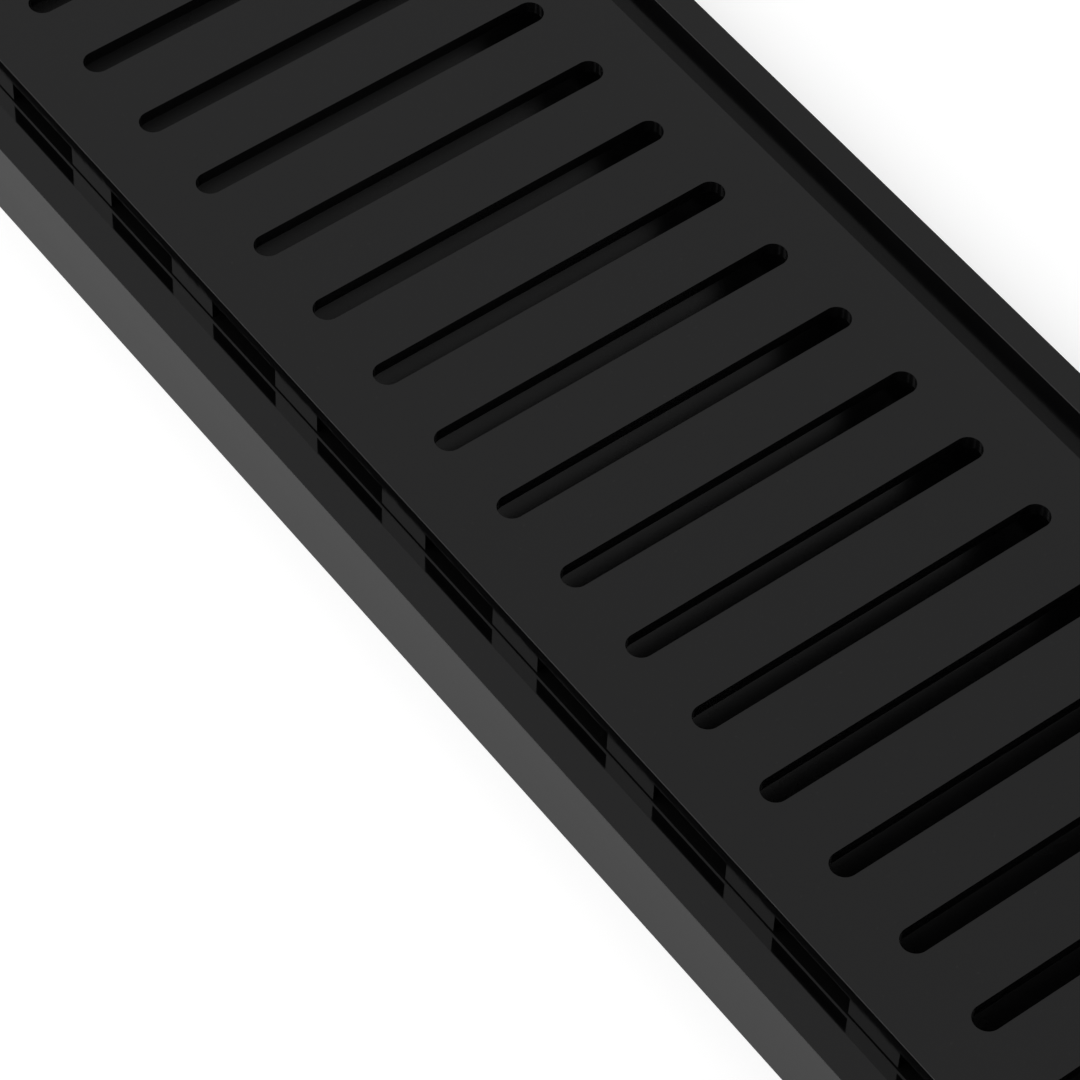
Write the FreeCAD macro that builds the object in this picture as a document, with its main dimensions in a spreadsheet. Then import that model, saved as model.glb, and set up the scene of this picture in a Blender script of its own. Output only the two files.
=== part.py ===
"""Linear channel drain with a lift-out slotted grate, as a parametric FreeCAD document.

Millimetres. X runs along the channel, Y across it and Z up. The origin is the middle of the base,
so the channel stands on Z = 0 and the top of its rim and grate is at Z = overall_height.
"""

import FreeCAD, Part
import math
import os

import Sketcher

SIZES = {
    # Whole drain
    "overall_length": 400.0,
    "overall_width": 69.0,
    "overall_height": 9.6,
    # Extruded channel: side wall, grate ledge and floor
    "rim_width": 3.3,
    "ledge_drop": 4.7,
    "ledge_width": 5.5,
    "floor_thickness": 0.9,
    "edge_round": 0.05,
    # Screw ports that run through the ledges
    "port_inset": 5.9,
    "port_height": 2.5,
    "port_diameter": 2.5,
    # Outlet in the floor
    "outlet_diameter": 40.0,
    "outlet_inset": 50.0,
    "seat_depth": 0.4,
    # Grate
    "grate_gap": 3.45,
    "grate_recess": 0.3,
    "plate_thickness": 1.5,
    "skirt_thickness": 1.5,
    "slot_width": 2.9,
    "slot_length": 42.6,
    "slot_pitch": 10.0,
    "slot_margin": 11.0,
    "window_width": 10.7,
    "window_pitch": 17.67,
    "window_margin": 8.0,
    # Cushion strips that the skirts stand on
    "cushion_thickness": 0.45,
    "cushion_width": 1.8,
    "cushion_lip": 0.1,
    "cushion_chamfer": 0.2,
    # End caps and their gaskets
    "cap_thickness": 3.3,
    "tongue_length": 5.5,
    "tongue_wall": 1.5,
    "tongue_play": 0.2,
    "gasket_thickness": 0.5,
    "gasket_inset": 0.6,
    # Countersunk screws
    "screw_length": 12.0,
    "screw_play": 0.1,
    "head_diameter": 4.4,
    "head_sink": 0.15,
    "socket_width": 1.5,
    "socket_depth": 0.9,
    # Hair strainer
    "strainer_diameter": 47.0,
    "strainer_thickness": 1.0,
    "strainer_play": 0.3,
    "ray_width": 2.5,
    "ray_start": 7.0,
    "ray_end": 18.0,
    "ray_count": 12,
}

doc = FreeCAD.newDocument("ChannelDrain")
sheet = doc.addObject("Spreadsheet::Sheet", "Sizes")
for row, (alias, value) in enumerate(SIZES.items(), start=1):
    sheet.set(f"A{row}", alias)
    sheet.set(f"B{row}", str(value))
    sheet.setAlias(f"B{row}", alias)
doc.recompute()

# Places that several pieces share, written once as expressions of the sheet.
TOP = "Sizes.overall_height"
OUTER = "Sizes.overall_width / 2"
WALL = f"({OUTER} - Sizes.rim_width)"
LEDGE_EDGE = f"({WALL} - Sizes.ledge_width)"
LEDGE_TOP = f"({TOP} - Sizes.ledge_drop)"
FLOOR_TOP = "Sizes.floor_thickness"
PORT_Y = f"({OUTER} - Sizes.port_inset)"
PORT_Z = "Sizes.port_height"
CAP_FACE = "(Sizes.overall_length / 2 - Sizes.cap_thickness)"
CHANNEL_END = f"({CAP_FACE} - Sizes.gasket_thickness)"
GRATE_TOP = f"({TOP} - Sizes.grate_recess)"
GRATE_FOOT = f"({LEDGE_TOP} + Sizes.cushion_thickness)"
GRATE_EDGE = f"({WALL} - Sizes.grate_gap)"
GRATE_END = f"({CAP_FACE} - Sizes.grate_gap)"
SLOT_ROOM = f"(2 * {GRATE_END} - 2 * Sizes.slot_margin - Sizes.slot_width)"
SLOT_COUNT = f"(floor({SLOT_ROOM} / Sizes.slot_pitch) + 1)"
WINDOW_ROOM = f"(2 * {GRATE_END} - 2 * Sizes.window_margin - Sizes.window_width)"
WINDOW_COUNT = f"(floor({WINDOW_ROOM} / Sizes.window_pitch) + 1)"
SCREW_DIAMETER = "(Sizes.port_diameter - Sizes.screw_play)"
SEAT_TOP = f"({FLOOR_TOP} - Sizes.seat_depth)"
OUTLET_X = "(Sizes.overall_length / 2 - Sizes.outlet_inset)"
HEAD_DEPTH = f"((Sizes.head_diameter - {SCREW_DIAMETER}) / 2)"


def new_body(label):
    """Start one piece of the drain."""
    body = doc.addObject("PartDesign::Body", label)
    body.Label = label
    return body


def plane(body, role):
    """Find one of the body's own origin planes."""
    return next(item for item in body.Origin.OriginFeatures if item.Role == role)


def about_z(turn):
    """Give the placement that turns a piece about the drain's vertical axis."""
    return FreeCAD.Placement(FreeCAD.Vector(), FreeCAD.Rotation(FreeCAD.Vector(0, 0, 1), turn))


def new_sketch(body, name, role, offset=None):
    """Attach a sketch to an origin plane, lifted off it by an expression if one is given."""
    sketch = body.newObject("Sketcher::SketchObject", name)
    sketch.AttachmentSupport = [(plane(body, role), "")]
    sketch.MapMode = "FlatFace"
    if offset:
        sketch.setExpression("AttachmentOffset.Base.z", offset)
    return sketch


def pin(sketch, kind, geometry, point, expression):
    """Hold one coordinate of a sketch point at an expression."""
    value = float(sketch.evalExpression(expression))
    index = sketch.addConstraint(Sketcher.Constraint(kind, -1, 1, geometry, point, value))
    sketch.setExpression(f"Constraints[{index}]", expression)


def place(sketch, geometry, point, across, up):
    """Hold both coordinates of a sketch point."""
    pin(sketch, "DistanceX", geometry, point, across)
    pin(sketch, "DistanceY", geometry, point, up)


def outline(sketch, corners):
    """Draw a closed outline of straight lines through corners given as expression pairs."""
    first = sketch.GeometryCount
    spots = [FreeCAD.Vector(float(sketch.evalExpression(a)), float(sketch.evalExpression(b)), 0)
             for a, b in corners]
    for here, there in zip(spots, spots[1:] + spots[:1]):
        sketch.addGeometry(Part.LineSegment(here, there), False)
    count = len(corners)
    for step in range(count):
        after = (step + 1) % count
        sketch.addConstraint(Sketcher.Constraint("Coincident", first + step, 2, first + after, 1))
        place(sketch, first + step, 1, *corners[step])


def circle(sketch, across, up, diameter):
    """Draw a circle whose centre and diameter are expressions."""
    centre = FreeCAD.Vector(float(sketch.evalExpression(across)), float(sketch.evalExpression(up)), 0)
    radius = float(sketch.evalExpression(diameter)) / 2
    index = sketch.addGeometry(Part.Circle(centre, FreeCAD.Vector(0, 0, 1), radius), False)
    place(sketch, index, 3, across, up)
    size = sketch.addConstraint(Sketcher.Constraint("Diameter", index, 2 * radius))
    sketch.setExpression(f"Constraints[{size}]", diameter)


def slot(sketch, across, half_span, width):
    """Draw a round-ended slot that runs along the sketch's vertical axis."""
    centre = float(sketch.evalExpression(across))
    radius = float(sketch.evalExpression(width)) / 2
    reach = float(sketch.evalExpression(half_span))
    normal = FreeCAD.Vector(0, 0, 1)
    upper = Part.ArcOfCircle(Part.Circle(FreeCAD.Vector(centre, reach, 0), normal, radius), 0, math.pi)
    lower = Part.ArcOfCircle(Part.Circle(FreeCAD.Vector(centre, -reach, 0), normal, radius),
                             math.pi, 2 * math.pi)
    left = Part.LineSegment(FreeCAD.Vector(centre - radius, reach, 0),
                            FreeCAD.Vector(centre - radius, -reach, 0))
    right = Part.LineSegment(FreeCAD.Vector(centre + radius, -reach, 0),
                             FreeCAD.Vector(centre + radius, reach, 0))
    top, side, bottom, back = [sketch.addGeometry(edge, False) for edge in (upper, left, lower, right)]
    sketch.addConstraint(Sketcher.Constraint("Tangent", top, 2, side, 1))
    sketch.addConstraint(Sketcher.Constraint("Tangent", side, 2, bottom, 1))
    sketch.addConstraint(Sketcher.Constraint("Tangent", bottom, 2, back, 1))
    sketch.addConstraint(Sketcher.Constraint("Tangent", back, 2, top, 1))
    place(sketch, top, 3, across, half_span)
    pin(sketch, "DistanceY", bottom, 3, f"-{half_span}")
    size = sketch.addConstraint(Sketcher.Constraint("Radius", top, radius))
    sketch.setExpression(f"Constraints[{size}]", f"{width} / 2")


def pad(body, sketch, name, length, centred=False, reverse=False):
    """Pad a sketch by an expression."""
    feature = body.newObject("PartDesign::Pad", name)
    feature.Profile = sketch
    feature.setExpression("Length", length)
    feature.SideType = "Symmetric" if centred else "One side"
    feature.Reversed = reverse
    doc.recompute()
    return feature


def pocket(body, sketch, name, length=None, reverse=False):
    """Cut a sketch through everything on both sides, or to a depth, and see that it cut."""
    before = body.Shape.Volume
    feature = body.newObject("PartDesign::Pocket", name)
    feature.Profile = sketch
    if length:
        feature.setExpression("Length", length)
        feature.Reversed = reverse
    else:
        feature.Type = "ThroughAll"
        feature.SideType = "Symmetric"
    doc.recompute()
    if not body.Shape.Volume < before:
        raise RuntimeError(f"{body.Label}: {name} cuts nothing")
    return feature


def row_of(body, feature, name, direction, spacing, count):
    """Repeat a feature in a straight row along one of the feature's sketch axes."""
    pattern = body.newObject("PartDesign::LinearPattern", name)
    pattern.Originals = [feature]
    pattern.Direction = (feature.Profile[0], [direction])
    pattern.Mode = "Spacing"
    pattern.setExpression("Offset", spacing)
    pattern.setExpression("Occurrences", count)
    body.Tip = pattern
    doc.recompute()
    return pattern


def ring_of(body, feature, name, count):
    """Repeat a feature round the body's own vertical axis."""
    pattern = body.newObject("PartDesign::PolarPattern", name)
    pattern.Originals = [feature]
    pattern.Axis = (feature.Profile[0], ["N_Axis"])
    pattern.Angle = 360
    pattern.setExpression("Occurrences", count)
    body.Tip = pattern
    doc.recompute()
    return pattern


def round_edges(body, name, test):
    """Break the sharp edges of the body's latest feature that pass a test."""
    base = body.Tip
    names = [f"Edge{number}" for number, edge in enumerate(base.Shape.Edges, start=1) if test(edge)]
    feature = body.newObject("PartDesign::Fillet", name)
    feature.Base = (base, names)
    feature.setExpression("Radius", "Sizes.edge_round")
    doc.recompute()
    return feature


def level_straight(edge, height):
    """Tell whether a straight edge lies level at a height."""
    box = edge.BoundBox
    return (edge.Curve.TypeId == "Part::GeomLine"
            and abs(box.ZMin - height) < 1e-4 and abs(box.ZMax - height) < 1e-4)


def channel_section(sketch, inset):
    """Draw the trough's cross-section, held back from the outside by an inset."""
    outer, base, rim = f"({OUTER} - {inset})", inset, f"{TOP} - {inset}"
    half = [(outer, base), (outer, rim), (WALL, rim), (WALL, LEDGE_TOP),
            (LEDGE_EDGE, LEDGE_TOP), (LEDGE_EDGE, FLOOR_TOP)]
    mirrored = [(f"-{across}", up) for across, up in reversed(half)]
    outline(sketch, half + mirrored)
    for side in ("", "-"):
        circle(sketch, f"{side}{PORT_Y}", PORT_Z, "Sizes.port_diameter")


def build_channel():
    """Extrude the trough, then bore its outlet, mill the strainer's seat and break the rim's edges."""
    body = new_body("channel")
    section = new_sketch(body, "ChannelSection", "YZ_Plane")
    channel_section(section, "0")
    pad(body, section, "ChannelExtrusion", f"2 * {CHANNEL_END}", centred=True)
    bore = new_sketch(body, "OutletSketch", "XY_Plane")
    circle(bore, OUTLET_X, "0", "Sizes.outlet_diameter")
    pocket(body, bore, "OutletBore")
    seat = new_sketch(body, "SeatSketch", "XY_Plane", SEAT_TOP)
    circle(seat, OUTLET_X, "0", "Sizes.strainer_diameter + 2 * Sizes.strainer_play")
    pocket(body, seat, "StrainerSeat", "Sizes.seat_depth", reverse=True)
    top = sheet.overall_height
    round_edges(body, "RimEdges", lambda edge: level_straight(edge, top) and edge.BoundBox.XLength > 1)
    return body


def build_grate():
    """Extrude the inverted U, then mill its slots and the windows in its skirts."""
    body = new_body("grate")
    section = new_sketch(body, "GrateSection", "YZ_Plane")
    inner, soffit = f"({GRATE_EDGE} - Sizes.skirt_thickness)", f"({GRATE_TOP} - Sizes.plate_thickness)"
    half = [(GRATE_EDGE, GRATE_FOOT), (GRATE_EDGE, GRATE_TOP)]
    mirrored = [(f"-{across}", up) for across, up in reversed(half)]
    inside = [(f"-{inner}", GRATE_FOOT), (f"-{inner}", soffit), (inner, soffit), (inner, GRATE_FOOT)]
    outline(section, half + mirrored + inside)
    pad(body, section, "GrateExtrusion", f"2 * {GRATE_END}", centred=True)
    top = section.evalExpression(GRATE_TOP)
    round_edges(body, "GrateEdges", lambda edge: level_straight(edge, top))

    slots = new_sketch(body, "SlotSketch", "XY_Plane")
    first_slot = f"-({SLOT_COUNT} - 1) / 2 * Sizes.slot_pitch"
    slot(slots, first_slot, "(Sizes.slot_length - Sizes.slot_width) / 2", "Sizes.slot_width")
    first = pocket(body, slots, "FirstSlot")
    row_of(body, first, "Slots", "H_Axis", "Sizes.slot_pitch", SLOT_COUNT)

    windows = new_sketch(body, "WindowSketch", "XZ_Plane")
    first_window = f"-({WINDOW_COUNT} - 1) / 2 * Sizes.window_pitch"
    near, far = f"({first_window} - Sizes.window_width / 2)", f"({first_window} + Sizes.window_width / 2)"
    outline(windows, [(near, GRATE_FOOT), (far, GRATE_FOOT), (far, soffit), (near, soffit)])
    first = pocket(body, windows, "FirstWindow")
    row_of(body, first, "Windows", "H_Axis", "Sizes.window_pitch", WINDOW_COUNT)
    return body


def build_cushion(label, turn):
    """Cut the thin rubber strip that lies on a ledge under one skirt, a hair proud of its face."""
    body = new_body(label)
    section = new_sketch(body, "CushionSection", "YZ_Plane")
    outside = f"({GRATE_EDGE} + Sizes.cushion_lip)"
    inside = f"({outside} - Sizes.cushion_width)"
    crest, bevelled = f"({GRATE_FOOT} - Sizes.cushion_chamfer)", f"({outside} - Sizes.cushion_chamfer)"
    outline(section, [(inside, LEDGE_TOP), (outside, LEDGE_TOP), (outside, crest),
                      (bevelled, GRATE_FOOT), (inside, GRATE_FOOT)])
    pad(body, section, "Cushion", f"2 * {GRATE_END}", centred=True)
    body.Placement = about_z(turn)
    return body


def build_strainer():
    """Punch the flat strainer that drops into the seat over the outlet."""
    body = new_body("strainer")
    disc = new_sketch(body, "DiscSketch", "XY_Plane", SEAT_TOP)
    circle(disc, "0", "0", "Sizes.strainer_diameter")
    pad(body, disc, "Disc", "Sizes.strainer_thickness")
    ray = new_sketch(body, "RaySketch", "XY_Plane")
    half = "Sizes.ray_width / 2"
    outline(ray, [("Sizes.ray_start", f"-{half}"), ("Sizes.ray_end", f"-{half}"),
                  ("Sizes.ray_end", half), ("Sizes.ray_start", half)])
    first = pocket(body, ray, "FirstRay")
    ring_of(body, first, "Rays", "Sizes.ray_count")
    body.setExpression("Placement.Base.x", OUTLET_X)
    return body


def build_cap(label, turn):
    """Make an end cap: a plate with the rim's height, a hollow tongue and two countersinks."""
    body = new_body(label)
    plate = new_sketch(body, "PlateSketch", "YZ_Plane", CAP_FACE)
    outline(plate, [(OUTER, "0"), (OUTER, TOP), (f"-{OUTER}", TOP), (f"-{OUTER}", "0")])
    for side in ("", "-"):
        circle(plate, f"{side}{PORT_Y}", PORT_Z, "Sizes.port_diameter")
    pad(body, plate, "Plate", "Sizes.cap_thickness")
    top = sheet.overall_height
    round_edges(body, "CapEdges", lambda edge: level_straight(edge, top))
    half, low = f"({LEDGE_EDGE} - Sizes.tongue_play)", f"({FLOOR_TOP} + Sizes.tongue_play)"
    inner = f"({half} - Sizes.tongue_wall)"
    soffit = f"({LEDGE_TOP} - Sizes.tongue_wall)"
    tongue = new_sketch(body, "TongueSketch", "YZ_Plane", CAP_FACE)
    outline(tongue, [(half, low), (half, LEDGE_TOP), (f"-{half}", LEDGE_TOP), (f"-{half}", low),
                     (f"-{inner}", low), (f"-{inner}", soffit), (inner, soffit), (inner, low)])
    pad(body, tongue, "Tongue", "Sizes.tongue_length", reverse=True)
    sinks = new_sketch(body, "SinkSketch", "YZ_Plane", "Sizes.overall_length / 2")
    for side in ("", "-"):
        circle(sinks, f"{side}{PORT_Y}", PORT_Z, "Sizes.head_diameter + Sizes.screw_play + 2 * Sizes.head_sink")
    sink = pocket(body, sinks, "Countersinks", f"{HEAD_DEPTH} + Sizes.head_sink")
    sink.TaperAngle = -45
    doc.recompute()
    body.Placement = about_z(turn)
    return body


def build_gasket(label, turn):
    """Cut the flat gasket between the channel's end and a cap, kept just inside the rim's faces."""
    body = new_body(label)
    section = new_sketch(body, "GasketSketch", "YZ_Plane", CHANNEL_END)
    channel_section(section, "Sizes.gasket_inset")
    pad(body, section, "Gasket", "Sizes.gasket_thickness")
    body.Placement = about_z(turn)
    return body


def build_screw(label, turn, side):
    """Turn a countersunk screw along X and press a hexagon socket into its head."""
    body = new_body(label)
    profile = new_sketch(body, "ScrewProfile", "XZ_Plane")
    shank = f"({SCREW_DIAMETER} / 2)"
    outline(profile, [("0", "0"), ("0", "Sizes.head_diameter / 2"), (f"-{HEAD_DEPTH}", shank),
                      ("-Sizes.screw_length", shank), ("-Sizes.screw_length", "0")])
    turned = body.newObject("PartDesign::Revolution", "Turned")
    turned.Profile = profile
    turned.ReferenceAxis = (profile, ["H_Axis"])
    turned.Angle = 360
    doc.recompute()
    socket = new_sketch(body, "SocketSketch", "YZ_Plane")
    flat = "(Sizes.socket_width / 2)"
    point = f"({flat} / cos(30 deg))"
    outline(socket, [("0", point), (f"-{flat}", f"{point} / 2"), (f"-{flat}", f"-{point} / 2"),
                     ("0", f"-{point}"), (flat, f"-{point} / 2"), (flat, f"{point} / 2")])
    pocket(body, socket, "Socket", "Sizes.socket_depth")
    sign = "" if turn == 0 else "-"
    body.Placement = about_z(turn)
    body.setExpression("Placement.Base.x", f"{sign}(Sizes.overall_length / 2 - Sizes.head_sink)")
    body.setExpression("Placement.Base.y", f"{side}{PORT_Y}")
    body.setExpression("Placement.Base.z", PORT_Z)
    return body


pieces = [build_channel(), build_grate(), build_strainer()]
for side, turn in (("front", 180), ("back", 0)):
    pieces.append(build_cushion(f"cushion_strip_{side}", turn))
for end, turn in (("left", 180), ("right", 0)):
    pieces.append(build_cap(f"end_cap_{end}", turn))
    pieces.append(build_gasket(f"end_gasket_{end}", turn))
    for face, side in (("front", "-"), ("back", "")):
        pieces.append(build_screw(f"cap_screw_{end}_{face}", turn, side))
doc.recompute()

for item in doc.Objects:
    if "Invalid" in item.State or "Error" in item.State:
        raise RuntimeError(f"{item.Label} failed: {item.State}")
os.makedirs("parts", exist_ok=True)
for piece in pieces:
    if piece.Shape.isNull() or not piece.Shape.isValid():
        raise RuntimeError(f"{piece.Label} has no valid shape")
    piece.Shape.exportStep(f"parts/{piece.Label}.step")
    box = piece.Shape.BoundBox
    print(f"{piece.Label}: {len(piece.Shape.Solids)} solid, {piece.Shape.Volume:.1f} mm3, "
          f"x {box.XMin:.2f}..{box.XMax:.2f}, y {box.YMin:.2f}..{box.YMax:.2f}, "
          f"z {box.ZMin:.2f}..{box.ZMax:.2f}")
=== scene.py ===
"""Looks of the slotted channel drain: gloss black coat, rubber, screws, floor, softbox and camera.

Lengths are metres. X runs along the channel, Y across it and Z up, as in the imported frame.
"""

import logging
import math
from dataclasses import dataclass, field
from enum import Enum

import bmesh
import bpy
from mathutils import Matrix, Quaternion, Vector


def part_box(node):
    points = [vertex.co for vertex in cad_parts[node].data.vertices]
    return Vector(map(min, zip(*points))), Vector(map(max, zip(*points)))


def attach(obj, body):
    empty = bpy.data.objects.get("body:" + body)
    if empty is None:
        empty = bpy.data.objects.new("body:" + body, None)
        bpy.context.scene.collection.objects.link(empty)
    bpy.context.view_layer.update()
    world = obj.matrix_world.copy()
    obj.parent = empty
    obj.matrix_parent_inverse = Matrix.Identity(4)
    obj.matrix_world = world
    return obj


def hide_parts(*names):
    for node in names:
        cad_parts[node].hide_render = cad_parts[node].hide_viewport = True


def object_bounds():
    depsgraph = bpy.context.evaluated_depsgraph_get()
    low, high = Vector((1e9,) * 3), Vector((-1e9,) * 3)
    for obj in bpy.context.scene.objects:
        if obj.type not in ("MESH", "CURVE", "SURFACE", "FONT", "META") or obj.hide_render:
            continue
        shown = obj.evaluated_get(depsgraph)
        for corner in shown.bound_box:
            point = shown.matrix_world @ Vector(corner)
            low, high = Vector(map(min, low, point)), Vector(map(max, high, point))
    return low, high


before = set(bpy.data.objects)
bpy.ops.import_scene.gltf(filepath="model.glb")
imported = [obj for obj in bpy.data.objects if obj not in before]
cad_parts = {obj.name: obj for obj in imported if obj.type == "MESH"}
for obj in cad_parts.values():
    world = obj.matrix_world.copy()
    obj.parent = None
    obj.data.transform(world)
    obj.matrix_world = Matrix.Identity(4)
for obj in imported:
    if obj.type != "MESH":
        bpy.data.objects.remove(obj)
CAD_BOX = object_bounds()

LOG = logging.getLogger("channel_drain")
ROOT_BODY = "root"
MM = 0.001
CAP_ENDS = ("left", "right")
LEDGE_SIDES = ("front", "back")
WHITE = (1.0, 1.0, 1.0, 1.0)
QUARTER_TURN = math.pi / 2.0


class NodeKind(Enum):
    """Shader nodes that the finishes are built from."""

    COORDINATES = "ShaderNodeTexCoord"
    NOISE = "ShaderNodeTexNoise"
    MAPPING = "ShaderNodeMapping"
    RANGE = "ShaderNodeMapRange"
    MATH = "ShaderNodeMath"
    SEPARATE = "ShaderNodeSeparateXYZ"
    MIX = "ShaderNodeMix"
    BUMP = "ShaderNodeBump"
    PRINCIPLED = "ShaderNodeBsdfPrincipled"
    OUTPUT = "ShaderNodeOutputMaterial"
    GROUP = "ShaderNodeGroup"
    GROUP_IN = "NodeGroupInput"
    GROUP_OUT = "NodeGroupOutput"
    DIFFUSE = "ShaderNodeBsdfDiffuse"
    EMISSION = "ShaderNodeEmission"
    ADD = "ShaderNodeAddShader"
    LIGHT_PATH = "ShaderNodeLightPath"


class Step(Enum):
    """Steps of arithmetic that the finishes use."""

    ADD = "ADD"
    MULTIPLY = "MULTIPLY"
    MULTIPLY_ADD = "MULTIPLY_ADD"
    ABSOLUTE = "ABSOLUTE"
    LESS_THAN = "LESS_THAN"


class Grain(Enum):
    """Which way a surface was worked, as the stretch of its fine lines along X, Y and Z."""

    EXTRUDED = (0.02, 1.0, 1.0)
    EVEN = (1.0, 1.0, 1.0)


def add_node(tree: bpy.types.NodeTree, kind: NodeKind, **values: object) -> bpy.types.Node:
    """Adds a shader node and sets its inputs.

    Args:
        tree: The node tree that takes the node.
        kind: What the node does.
        **values: Input values, with underscores for the spaces in the socket names.

    Returns:
        The new node.
    """
    node = tree.nodes.new(kind.value)
    for name, value in values.items():
        node.inputs[name.replace("_", " ")].default_value = value
    return node


def calculate(tree: bpy.types.NodeTree, step: Step,
              *terms: bpy.types.NodeSocket | float) -> bpy.types.NodeSocket:
    """Adds one step of arithmetic.

    Args:
        tree: The node tree that takes the step.
        step: What the step does.
        *terms: Its terms in order, each a socket or a number.

    Returns:
        The socket that carries the result.
    """
    node = add_node(tree, NodeKind.MATH)
    node.operation = step.value
    for place, term in zip(node.inputs, terms):
        if isinstance(term, bpy.types.NodeSocket):
            tree.links.new(term, place)
        else:
            place.default_value = term
    return node.outputs["Value"]


@dataclass(frozen=True)
class SprayedCoat:
    """The shared effect of a sprayed coat: slight waviness, handling haze and fine dust.

    Attributes:
        ripple_detail: How many finer layers the waviness has.
        ripple_grit: How strong those layers are.
        haze_detail: How many finer layers the haze has.
        haze_grit: How strong those layers are.
        haze_swirl: How far the haze patches are drawn out of shape.
        haze_limits: The noise levels where a haze patch starts and is full.
        speck_scale: How fine the dust is, in cells to the metre.
        speck_detail: How many finer layers the dust has.
        speck_limits: The noise levels where a speck starts and is full.
    """

    ripple_detail: float = 2.0
    ripple_grit: float = 0.45
    haze_detail: float = 4.0
    haze_grit: float = 0.6
    haze_swirl: float = 0.4
    haze_limits: tuple[float, float] = (0.42, 0.72)
    speck_scale: float = 2600.0
    speck_detail: float = 1.0
    speck_limits: tuple[float, float] = (0.70, 0.80)

    def group(self) -> bpy.types.NodeTree:
        """Builds the effect as a node group.

        Returns:
            A node group whose inputs size the ripple, the haze and the dull trough floor, and
            whose outputs are Height, Roughness and Dust.
        """
        group = bpy.data.node_groups.new("sprayed_coat_surface", "ShaderNodeTree")
        group.interface.new_socket(name="Stretch", in_out="INPUT", socket_type="NodeSocketVector")
        for name in ("Ripple Scale", "Haze Scale", "Base Roughness", "Haze Amount",
                     "Trough Level", "Trough Half Width", "Trough Dullness"):
            group.interface.new_socket(name=name, in_out="INPUT", socket_type="NodeSocketFloat")
        for name in ("Height", "Roughness", "Dust"):
            group.interface.new_socket(name=name, in_out="OUTPUT", socket_type="NodeSocketFloat")
        source = add_node(group, NodeKind.GROUP_IN)
        result = add_node(group, NodeKind.GROUP_OUT)
        place = add_node(group, NodeKind.COORDINATES).outputs["Object"]
        self.add_ripple(group, source, result, place)
        hazed = self.add_haze(group, source, place)
        dull = self.add_trough(group, source, place)
        group.links.new(calculate(group, Step.ADD, hazed, dull), result.inputs["Roughness"])
        self.add_dust(group, result, place)
        return group

    def add_ripple(self, group: bpy.types.NodeTree, source: bpy.types.Node,
                   result: bpy.types.Node, place: bpy.types.NodeSocket) -> None:
        """Adds the waviness, drawn out along the grain.

        Args:
            group: The node group.
            source: The group's input node.
            result: The group's output node.
            place: The socket that carries the place on the piece.
        """
        stretch = add_node(group, NodeKind.MAPPING)
        group.links.new(place, stretch.inputs["Vector"])
        group.links.new(source.outputs["Stretch"], stretch.inputs["Scale"])
        ripple = add_node(group, NodeKind.NOISE, Detail=self.ripple_detail,
                          Roughness=self.ripple_grit)
        group.links.new(stretch.outputs["Vector"], ripple.inputs["Vector"])
        group.links.new(source.outputs["Ripple Scale"], ripple.inputs["Scale"])
        group.links.new(ripple.outputs["Fac"], result.inputs["Height"])

    def add_haze(self, group: bpy.types.NodeTree, source: bpy.types.Node,
                 place: bpy.types.NodeSocket) -> bpy.types.NodeSocket:
        """Adds the haze patches to the base roughness.

        Args:
            group: The node group.
            source: The group's input node.
            place: The socket that carries the place on the piece.

        Returns:
            The socket that carries the roughness with its haze.
        """
        haze = add_node(group, NodeKind.NOISE, Detail=self.haze_detail,
                        Roughness=self.haze_grit, Distortion=self.haze_swirl)
        group.links.new(place, haze.inputs["Vector"])
        group.links.new(source.outputs["Haze Scale"], haze.inputs["Scale"])
        patches = self.limited(group, haze.outputs["Fac"], self.haze_limits)
        spread = calculate(group, Step.MULTIPLY, patches, source.outputs["Haze Amount"])
        return calculate(group, Step.ADD, spread, source.outputs["Base Roughness"])

    def add_trough(self, group: bpy.types.NodeTree, source: bpy.types.Node,
                   place: bpy.types.NodeSocket) -> bpy.types.NodeSocket:
        """Finds how much duller the coat is on the trough's floor.

        Args:
            group: The node group.
            source: The group's input node.
            place: The socket that carries the place on the piece.

        Returns:
            The socket that carries the added roughness, which is zero off the floor.
        """
        parts = add_node(group, NodeKind.SEPARATE)
        group.links.new(place, parts.inputs["Vector"])
        across = calculate(group, Step.ABSOLUTE, parts.outputs["Y"])
        dull = source.outputs["Trough Dullness"]
        for measure, limit in ((parts.outputs["Z"], "Trough Level"),
                               (across, "Trough Half Width")):
            inside = calculate(group, Step.LESS_THAN, measure, source.outputs[limit])
            dull = calculate(group, Step.MULTIPLY, dull, inside)
        return dull

    def add_dust(self, group: bpy.types.NodeTree, result: bpy.types.Node,
                 place: bpy.types.NodeSocket) -> None:
        """Adds sparse specks of dust.

        Args:
            group: The node group.
            result: The group's output node.
            place: The socket that carries the place on the piece.
        """
        specks = add_node(group, NodeKind.NOISE, Scale=self.speck_scale, Detail=self.speck_detail)
        group.links.new(place, specks.inputs["Vector"])
        sparse = self.limited(group, specks.outputs["Fac"], self.speck_limits)
        group.links.new(sparse, result.inputs["Dust"])

    def limited(self, group: bpy.types.NodeTree, value: bpy.types.NodeSocket,
                limits: tuple[float, float]) -> bpy.types.NodeSocket:
        """Spreads the part of a value between two limits over zero to one.

        Args:
            group: The node group.
            value: The socket that carries the value.
            limits: The lower and the upper limit.

        Returns:
            The socket that carries the result.
        """
        spread = add_node(group, NodeKind.RANGE, From_Min=limits[0], From_Max=limits[1])
        group.links.new(value, spread.inputs["Value"])
        return spread.outputs["Result"]


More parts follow.
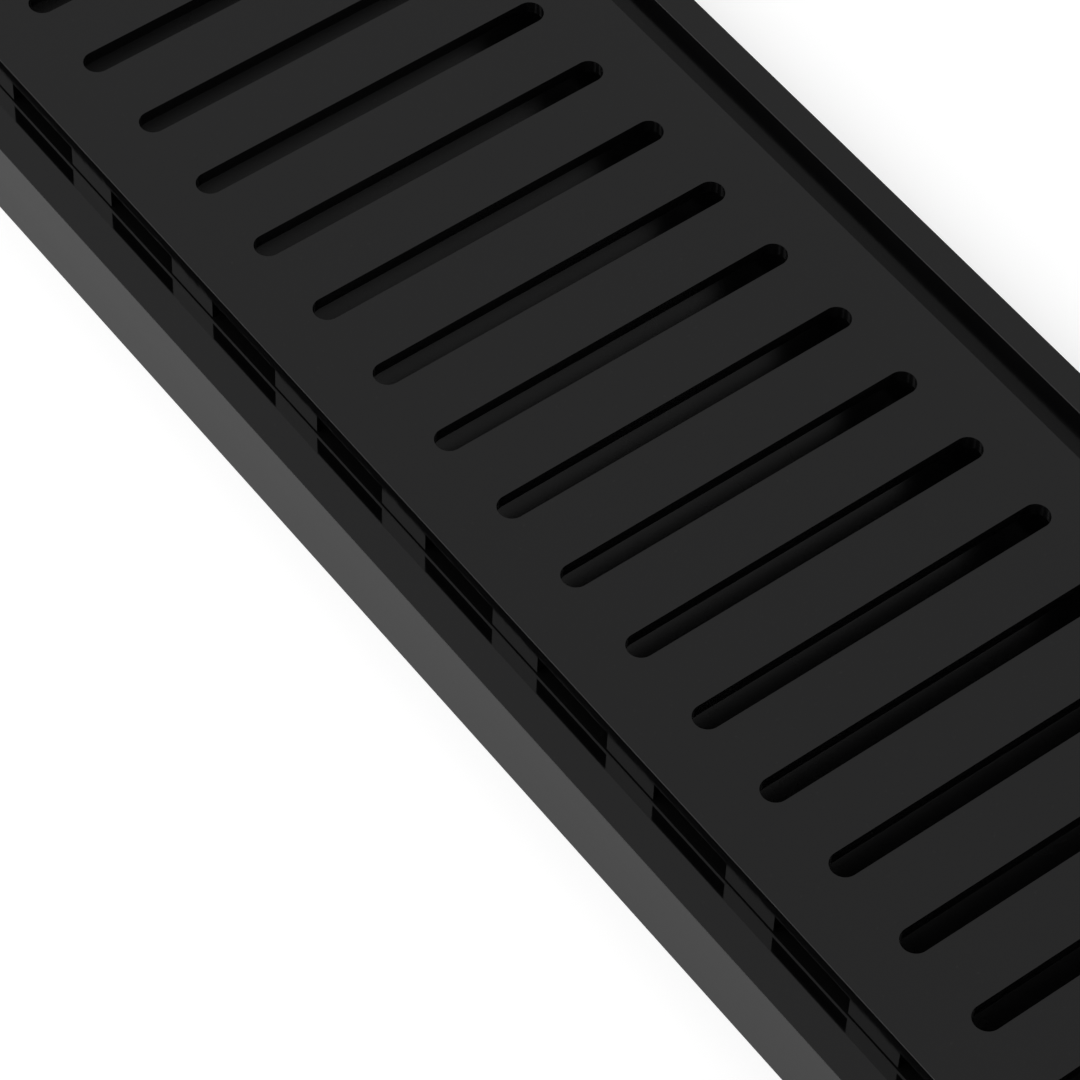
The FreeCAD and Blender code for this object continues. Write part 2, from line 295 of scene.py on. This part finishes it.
@dataclass(frozen=True)
class BlackFinish:
    """A dark coat or skin whose gloss, ripple and haze change slightly over the surface.

    Attributes:
        name: The material's name.
        tint: The base colour.
        dust_tint: The colour that fine specks lift the base to.
        roughness: The least roughness.
        haze: How much rougher the haziest patches are.
        ripple_scale: How fine the ripple is, in cells to the metre.
        ripple_height: How high the ripple stands.
        haze_scale: How fine the haze patches are, in cells to the metre.
        ior: The refractive index that sets the gloss.
        metallic: Whether the surface is bare metal.
        grain: The way that the metal below was worked.
        trough_level: The height below which the coat is dull, as where the spray hardly reaches.
        trough_half_width: How far from the middle the dull coat goes.
        trough_dullness: How much rougher it is there.
    """

    name: str
    tint: tuple[float, float, float] = (0.0035, 0.0035, 0.0037)
    dust_tint: tuple[float, float, float] = (0.008, 0.008, 0.008)
    roughness: float = 0.035
    haze: float = 0.02
    ripple_scale: float = 420.0
    ripple_height: float = 0.00001
    haze_scale: float = 38.0
    ior: float = 1.45
    metallic: float = 0.0
    grain: Grain = Grain.EVEN
    trough_level: float = 0.0
    trough_half_width: float = 0.0
    trough_dullness: float = 0.0

    def material(self, surface: bpy.types.NodeTree) -> bpy.types.Material:
        """Builds the material.

        Args:
            surface: The shared coat effect.

        Returns:
            The finished material.
        """
        material = bpy.data.materials.new(self.name)
        material.use_nodes = True
        tree = material.node_tree
        tree.nodes.clear()
        shader = add_node(tree, NodeKind.PRINCIPLED, IOR=self.ior, Metallic=self.metallic)
        output = add_node(tree, NodeKind.OUTPUT)
        tree.links.new(shader.outputs["BSDF"], output.inputs["Surface"])
        effect = add_node(tree, NodeKind.GROUP)
        effect.node_tree = surface
        settings = {
            "Stretch": self.grain.value, "Ripple Scale": self.ripple_scale,
            "Haze Scale": self.haze_scale, "Base Roughness": self.roughness,
            "Haze Amount": self.haze, "Trough Level": self.trough_level,
            "Trough Half Width": self.trough_half_width, "Trough Dullness": self.trough_dullness}
        for name, value in settings.items():
            effect.inputs[name].default_value = value
        tree.links.new(effect.outputs["Roughness"], shader.inputs["Roughness"])
        colour = add_node(tree, NodeKind.MIX)
        colour.data_type = "RGBA"
        colour.inputs["A"].default_value = (*self.tint, 1.0)
        colour.inputs["B"].default_value = (*self.dust_tint, 1.0)
        tree.links.new(effect.outputs["Dust"], colour.inputs["Factor"])
        tree.links.new(colour.outputs["Result"], shader.inputs["Base Color"])
        bump = add_node(tree, NodeKind.BUMP, Strength=1.0, Distance=self.ripple_height)
        tree.links.new(effect.outputs["Height"], bump.inputs["Height"])
        tree.links.new(bump.outputs["Normal"], shader.inputs["Normal"])
        return material


class FinishRack:
    """Every finish of the drain, built once and handed out by name."""

    COATED_CHANNEL = BlackFinish(
        "coated_channel_gloss", roughness=0.085, grain=Grain.EXTRUDED, trough_level=1.0 * MM,
        trough_half_width=25.65 * MM, trough_dullness=0.18)
    COATED_GRATE = BlackFinish("coated_grate_gloss", ripple_scale=520.0, haze_scale=46.0)
    COATED_CAP = BlackFinish("coated_cap_gloss", ripple_scale=640.0, haze_scale=60.0)
    COATED_STRAINER = BlackFinish("coated_strainer_satin", roughness=0.16, haze=0.08)
    SEALING_RUBBER = BlackFinish(
        "sealing_rubber", tint=(0.010, 0.010, 0.010), dust_tint=(0.035, 0.035, 0.034),
        roughness=0.62, haze=0.2, ripple_scale=2400.0, ripple_height=0.00003, haze_scale=90.0)
    CUSHION_RUBBER = BlackFinish(
        "cushion_rubber", tint=(0.004, 0.004, 0.004), dust_tint=(0.012, 0.012, 0.012),
        roughness=0.12, haze=0.08, ripple_scale=2400.0, ripple_height=0.00003, haze_scale=90.0)
    BLACKENED_STEEL = BlackFinish(
        "blackened_steel", tint=(0.055, 0.054, 0.053), dust_tint=(0.09, 0.088, 0.085),
        roughness=0.3, haze=0.2, ripple_scale=3000.0, ripple_height=0.000004,
        haze_scale=800.0, metallic=1.0)

    def __init__(self) -> None:
        """Builds the shared surface effect."""
        self.surface = SprayedCoat().group()
        self.made: dict[str, bpy.types.Material] = {}

    def get(self, finish: BlackFinish) -> bpy.types.Material:
        """Gives a finish as a material.

        Args:
            finish: The finish that is wanted.

        Returns:
            The one material of that finish.
        """
        if finish.name not in self.made:
            self.made[finish.name] = finish.material(self.surface)
        return self.made[finish.name]

    def dress(self, node: str, finish: BlackFinish) -> None:
        """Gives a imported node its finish.

        Args:
            node: The node's name.
            finish: The finish that it takes.
        """
        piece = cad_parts[node]
        if not piece.material_slots:
            piece.data.materials.append(None)
        for place in piece.material_slots:
            place.material = self.get(finish)
        LOG.info("%s takes %s", node, finish.name)


@dataclass
class ChannelTrough:
    """The extruded trough with its rim, ledges, floor and outlet bore."""

    node: str = "channel"
    finish: BlackFinish = FinishRack.COATED_CHANNEL

    def build(self, rack: FinishRack) -> None:
        """Dresses the trough."""
        rack.dress(self.node, self.finish)


@dataclass
class SlottedGrate:
    """The lift-out grate with its cross slots and notched skirts."""

    node: str = "grate"
    finish: BlackFinish = FinishRack.COATED_GRATE

    def build(self, rack: FinishRack) -> None:
        """Dresses the grate."""
        rack.dress(self.node, self.finish)


@dataclass
class OutletStrainer:
    """The rayed disc that lies over the outlet."""

    node: str = "strainer"
    finish: BlackFinish = FinishRack.COATED_STRAINER

    def build(self, rack: FinishRack) -> None:
        """Dresses the strainer."""
        rack.dress(self.node, self.finish)


@dataclass
class CushionStrips:
    """The rubber strips on the ledges that the grate's skirts stand on."""

    finish: BlackFinish = FinishRack.CUSHION_RUBBER

    def build(self, rack: FinishRack) -> None:
        """Dresses both strips."""
        for side in LEDGE_SIDES:
            rack.dress(f"cushion_strip_{side}", self.finish)


@dataclass
class CountersunkScrew:
    """One socket screw of an end cap, with a turned head, a hexagon socket and a cut thread.

    Attributes:
        node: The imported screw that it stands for.
        outward: The sign along X that the head faces.
        head_depth: The depth of the countersunk head.
        land: The head's straight edge, which also sets its bevel.
        socket_sides: The number of flats in the socket.
        socket_width: The socket's width across flats.
        socket_depth: How deep the flats go.
        drill_depth: How deep the drilled point goes below the flats.
        loop_play: How much wider than the socket the search for its edges is.
        shank_diameter: The thread's outer diameter.
        thread_pitch: The distance between turns.
        thread_depth: The height of a tooth.
        crest_span: Where a tooth's flat crest starts and ends, as shares of the pitch.
        spare_turns: The turns cut past the screw's length, which the trimming takes off.
        weld_share: The distance at which turns are joined, as a share of the pitch.
        head_overlap: How much of the head's depth the shank stays clear of.
        trim_play: The distance that counts as on a trimming plane.
        sides: The number of sides of a turn.
        finish: The screw's finish.
    """

    node: str
    outward: float
    head_depth: float = 1.0 * MM
    land: float = 0.15 * MM
    socket_sides: int = 6
    socket_width: float = 1.5 * MM
    socket_depth: float = 0.9 * MM
    drill_depth: float = 0.2 * MM
    loop_play: float = 1.01
    shank_diameter: float = 2.4 * MM
    thread_pitch: float = 0.45 * MM
    thread_depth: float = 0.25 * MM
    crest_span: tuple[float, float] = (0.45, 0.55)
    spare_turns: int = 2
    weld_share: float = 0.01
    head_overlap: float = 0.8
    trim_play: float = 1e-8
    sides: int = 24
    finish: BlackFinish = FinishRack.BLACKENED_STEEL

    def head(self, mesh: bmesh.types.BMesh, radius: float) -> None:
        """Turns the head, with its face at Z zero and its cone going down.

        Args:
            mesh: The mesh that takes the head.
            radius: The head's outer radius.
        """
        corner = self.socket_width / 2.0 / math.cos(math.pi / self.socket_sides)
        reach = corner * self.loop_play
        socket = bmesh.ops.create_circle(mesh, segments=self.socket_sides, radius=corner)["verts"]
        mesh.edges.ensure_lookup_table()
        hexagon = list({edge for vert in socket for edge in vert.link_edges})
        bmesh.ops.subdivide_edges(mesh, edges=hexagon, cuts=self.sides // self.socket_sides - 1)
        hexagon = list(mesh.edges)
        outer = bmesh.ops.create_circle(
            mesh, segments=self.sides, radius=radius - self.land / 2.0)["verts"]
        rim = list({edge for vert in outer for edge in vert.link_edges})
        bmesh.ops.bridge_loops(mesh, edges=hexagon + rim)
        self.lower(mesh, hexagon, self.socket_depth, 1.0)
        self.point(mesh, self.open_edges(mesh, 0.0, reach), self.drill_depth)
        edge = self.open_edges(mesh, reach, math.inf)
        shoulder = self.lower(mesh, edge, self.land / 2.0, radius / (radius - self.land / 2.0))
        skirt = self.lower(mesh, shoulder, self.land, 1.0)
        cone = self.lower(mesh, skirt, self.head_depth - 1.5 * self.land,
                          self.shank_diameter / 2.0 / radius)
        bmesh.ops.contextual_create(mesh, geom=cone)

    def open_edges(self, mesh: bmesh.types.BMesh, near: float, far: float) -> list[bmesh.types.BMEdge]:
        """Finds the open edges between two distances from the axis.

        Args:
            mesh: The mesh to look through.
            near: The least distance.
            far: The greatest distance.

        Returns:
            The edges with one face or none.
        """
        def distance(edge: bmesh.types.BMEdge) -> float:
            """Gives the distance of an edge's farther end from the axis."""
            return max(vert.co.xy.length for vert in edge.verts)

        return [edge for edge in mesh.edges if edge.is_boundary and near <= distance(edge) <= far]

    def lower(self, mesh: bmesh.types.BMesh, edges: list[bmesh.types.BMEdge], drop: float,
              spread: float) -> list[bmesh.types.BMEdge]:
        """Extrudes a loop down and scales it about the axis.

        Args:
            mesh: The mesh that the loop is in.
            edges: The loop's edges.
            drop: How far it goes down.
            spread: The scale about the axis.

        Returns:
            The new loop's edges.
        """
        grown = bmesh.ops.extrude_edge_only(mesh, edges=edges)["geom"]
        verts = [part for part in grown if isinstance(part, bmesh.types.BMVert)]
        bmesh.ops.scale(mesh, vec=(spread, spread, 1.0), verts=verts)
        bmesh.ops.translate(mesh, vec=(0.0, 0.0, -drop), verts=verts)
        return [part for part in grown if isinstance(part, bmesh.types.BMEdge)]

    def point(self, mesh: bmesh.types.BMesh, edges: list[bmesh.types.BMEdge], drop: float) -> None:
        """Closes a loop with a shallow cone.

        Args:
            mesh: The mesh that the loop is in.
            edges: The loop's edges.
            drop: How deep the cone goes.
        """
        lid = bmesh.ops.contextual_create(mesh, geom=edges)["faces"]
        tip = bmesh.ops.poke(mesh, faces=lid)["verts"]
        bmesh.ops.translate(mesh, vec=(0.0, 0.0, -drop), verts=tip)

    def shank(self, mesh: bmesh.types.BMesh, length: float) -> None:
        """Cuts the thread as one turned tooth and trims both of its ends flat.

        Args:
            mesh: The mesh that takes the shank.
            length: The screw's whole length.
        """
        crest = self.shank_diameter / 2.0
        root = crest - self.thread_depth
        turns = math.ceil((length - self.head_depth) / self.thread_pitch) + self.spare_turns
        start = -length - self.thread_pitch
        rise, fall = self.crest_span
        heights = ((0.0, root), (rise, crest), (fall, crest), (1.0, root))
        tooth = [mesh.verts.new((reach, 0.0, start + part * self.thread_pitch))
                 for part, reach in heights]
        profile = [mesh.edges.new(pair) for pair in zip(tooth, tooth[1:])]
        old = set(mesh.faces)
        bmesh.ops.spin(
            mesh, geom=tooth + profile, cent=(0.0, 0.0, 0.0), axis=(0.0, 0.0, 1.0),
            dvec=(0.0, 0.0, self.thread_pitch / self.sides), angle=math.tau * turns,
            steps=self.sides * turns, use_merge=False, use_duplicate=False)
        thread = [face for face in mesh.faces if face not in old]
        verts = list({vert for face in thread for vert in face.verts})
        bmesh.ops.remove_doubles(mesh, verts=verts, dist=self.thread_pitch * self.weld_share)
        for height, up in ((-self.head_depth * self.head_overlap, 1.0), (-length, -1.0)):
            body = [face for face in mesh.faces if face not in old]
            verts = {vert for face in body for vert in face.verts}
            edges = {edge for face in body for edge in face.edges}
            cut = bmesh.ops.bisect_plane(
                mesh, geom=list(verts) + list(edges) + body, dist=self.trim_play,
                plane_co=(0.0, 0.0, height), plane_no=(0.0, 0.0, up), clear_outer=True)
            ring = [part for part in cut["geom_cut"] if isinstance(part, bmesh.types.BMEdge)]
            bmesh.ops.contextual_create(mesh, geom=ring)

    def build(self, rack: FinishRack) -> bpy.types.Object:
        """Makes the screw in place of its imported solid.

        Args:
            rack: Where the finishes come from.

        Returns:
            The screw.
        """
        low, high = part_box(self.node)
        mesh = bmesh.new()
        self.head(mesh, (high.z - low.z) / 2.0)
        self.shank(mesh, high.x - low.x)
        turned = Quaternion((0.0, 1.0, 0.0), self.outward * QUARTER_TURN).to_matrix().to_4x4()
        middle = (low + high) / 2.0
        face = high.x if self.outward > 0.0 else low.x
        seat = Matrix.Translation(Vector((face, middle.y, middle.z)))
        bmesh.ops.transform(mesh, matrix=seat @ turned, verts=list(mesh.verts))
        bmesh.ops.recalc_face_normals(mesh, faces=list(mesh.faces))
        data = bpy.data.meshes.new(f"{self.node}_threaded")
        mesh.to_mesh(data)
        mesh.free()
        piece = bpy.data.objects.new(f"{self.node}_threaded", data)
        bpy.context.scene.collection.objects.link(piece)
        data.materials.append(rack.get(self.finish))
        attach(piece, ROOT_BODY)
        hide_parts(self.node)
        LOG.info("%s built with %d faces", piece.name, len(data.polygons))
        return piece


@dataclass
class EndClosure:
    """One end cap with its gasket and two screws.

    Attributes:
        end: Which end it closes, left or right.
        cap_finish: The cap's finish.
        gasket_finish: The gasket's finish.
    """

    end: str
    cap_finish: BlackFinish = FinishRack.COATED_CAP
    gasket_finish: BlackFinish = FinishRack.SEALING_RUBBER

    def build(self, rack: FinishRack) -> None:
        """Dresses the cap and gasket and builds the screws.

        Args:
            rack: Where the finishes come from.
        """
        outward = 1.0 if self.end == "right" else -1.0
        rack.dress(f"end_cap_{self.end}", self.cap_finish)
        rack.dress(f"end_gasket_{self.end}", self.gasket_finish)
        for side in LEDGE_SIDES:
            CountersunkScrew(f"cap_screw_{self.end}_{side}", outward).build(rack)


@dataclass(frozen=True)
class FloorFinish:
    """A pale matt floor that reads white to the camera and keeps the drain's shadow.

    Attributes:
        name: The material's name.
        colour: How pale the floor is.
        lift: What the camera sees added to the lit floor.
        gloss_lift: What glossy and clear surfaces see added.
    """

    name: str = "pale_studio_floor"
    colour: float = 0.62
    lift: float = 0.555
    gloss_lift: float = 0.06

    def material(self) -> bpy.types.Material:
        """Builds the floor's material.

        Returns:
            The finished material.
        """
        material = bpy.data.materials.new(self.name)
        material.use_nodes = True
        tree = material.node_tree
        tree.nodes.clear()
        output = add_node(tree, NodeKind.OUTPUT)
        matt = add_node(tree, NodeKind.DIFFUSE, Color=(self.colour, self.colour, self.colour, 1.0))
        glow = add_node(tree, NodeKind.EMISSION, Color=WHITE)
        both = add_node(tree, NodeKind.ADD)
        tree.links.new(matt.outputs["BSDF"], both.inputs[0])
        tree.links.new(glow.outputs["Emission"], both.inputs[1])
        tree.links.new(both.outputs["Shader"], output.inputs["Surface"])
        strength = ray_strength(tree, self.lift, self.gloss_lift, 0.0)
        tree.links.new(strength, glow.inputs["Strength"])
        return material


def ray_strength(tree: bpy.types.NodeTree, camera: float, gloss: float,
                 rest: float) -> bpy.types.NodeSocket:
    """Gives a strength that depends on the kind of ray.

    Args:
        tree: The node tree that takes the nodes.
        camera: The strength that the camera sees.
        gloss: The strength that glossy and clear surfaces see.
        rest: The strength for all other rays.

    Returns:
        The socket that carries the strength.
    """
    path = add_node(tree, NodeKind.LIGHT_PATH)
    total: bpy.types.NodeSocket | float = rest
    for ray, share in (("Is Camera Ray", camera - rest), ("Is Glossy Ray", gloss - rest),
                       ("Is Transmission Ray", gloss - rest)):
        total = calculate(tree, Step.MULTIPLY_ADD, path.outputs[ray], share, total)
    return total


@dataclass
class StudioSet:
    """The floor, the room's light, the softbox and the camera.

    Attributes:
        floor_finish: The floor's finish.
        floor_size: The floor's length and width.
        floor_panels: The panels along each side of the floor.
        floor_drop: How far the floor lies below the drain's base.
        room_light: How strongly the room lights the drain.
        room_white: How bright the backdrop is to the camera.
        softbox_way: The way from the drain to the softbox.
        softbox_distance: How far off the softbox hangs.
        softbox_size: The softbox's diameter.
        softbox_power: The softbox's power in watts.
        camera_place: Where the camera stands.
        camera_aim: What the camera points at.
        camera_roll: How far the camera leans, in degrees.
        camera_lens: The lens's focal length in millimetres.
        camera_near: The nearest distance that the camera sees.
    """

    floor_finish: FloorFinish = field(default_factory=FloorFinish)
    floor_size: float = 6.0
    floor_panels: int = 4
    floor_drop: float = 0.00005
    room_light: float = 0.5
    room_white: float = 1.0
    softbox_way: tuple[float, float, float] = (-0.45, -0.64, 0.62)
    softbox_distance: float = 1.4
    softbox_size: float = 1.6
    softbox_power: float = 14.3
    camera_place: tuple[float, float, float] = (0.20699, -0.20047, 0.38570)
    camera_aim: tuple[float, float, float] = (-0.015256, -0.020072, 0.0093)
    camera_roll: float = 2.615
    camera_lens: float = 167.4
    camera_near: float = 0.01

    def build(self) -> None:
        """Builds the whole set."""
        self.lay_floor()
        self.light_room()
        self.hang_softbox()
        self.set_camera()

    def lay_floor(self) -> None:
        """Lays the floor just under the drain's base."""
        mesh = bmesh.new()
        bmesh.ops.create_grid(
            mesh, x_segments=self.floor_panels, y_segments=self.floor_panels,
            size=self.floor_size / 2.0)
        level = CAD_BOX[0][2] - self.floor_drop
        bmesh.ops.translate(mesh, vec=(0.0, 0.0, level), verts=list(mesh.verts))
        data = bpy.data.meshes.new("studio_floor")
        mesh.to_mesh(data)
        mesh.free()
        floor = bpy.data.objects.new("studio_floor", data)
        bpy.context.scene.collection.objects.link(floor)
        data.materials.append(self.floor_finish.material())
        LOG.info("floor laid")

    def light_room(self) -> None:
        """Fills the room with even light behind a white backdrop."""
        world = bpy.data.worlds.new("white_room")
        bpy.context.scene.world = world
        world.use_nodes = True
        tree = world.node_tree
        backdrop = tree.nodes["Background"]
        backdrop.inputs["Color"].default_value = WHITE
        strength = ray_strength(tree, self.room_white, self.room_light, self.room_light)
        tree.links.new(strength, backdrop.inputs["Strength"])
        LOG.info("room lit")

    def hang_softbox(self) -> None:
        """Hangs the softbox over the front left of the drain."""
        way = Vector(self.softbox_way).normalized()
        light = bpy.data.lights.new("softbox", "AREA")
        light.shape = "DISK"
        light.size = self.softbox_size
        light.energy = self.softbox_power
        lamp = bpy.data.objects.new("softbox", light)
        lamp.location = way * self.softbox_distance
        lamp.rotation_mode = "QUATERNION"
        lamp.rotation_quaternion = way.to_track_quat("Z", "Y")
        bpy.context.scene.collection.objects.link(lamp)
        LOG.info("softbox hung")

    def set_camera(self) -> None:
        """Sets the camera, which leans a little."""
        place = Vector(self.camera_place)
        lens = bpy.data.cameras.new("camera")
        lens.lens = self.camera_lens
        lens.clip_start = self.camera_near
        camera = bpy.data.objects.new("camera", lens)
        camera.location = place
        camera.rotation_mode = "QUATERNION"
        look = (Vector(self.camera_aim) - place).to_track_quat("-Z", "Y")
        lean = Quaternion((0.0, 0.0, 1.0), math.radians(self.camera_roll))
        camera.rotation_quaternion = look @ lean
        bpy.context.scene.collection.objects.link(camera)
        bpy.context.scene.camera = camera
        LOG.info("camera set")


def main() -> None:
    """Builds the drain's looks and its set."""
    logging.basicConfig(level=logging.INFO, format="%(name)s: %(message)s")
    rack = FinishRack()
    for assembly in (ChannelTrough(), SlottedGrate(), OutletStrainer(), CushionStrips()):
        assembly.build(rack)
    for end in CAP_ENDS:
        EndClosure(end).build(rack)
    StudioSet().build()
    bpy.context.scene.view_settings.view_transform = "Standard"


if __name__ == "__main__":
    main()
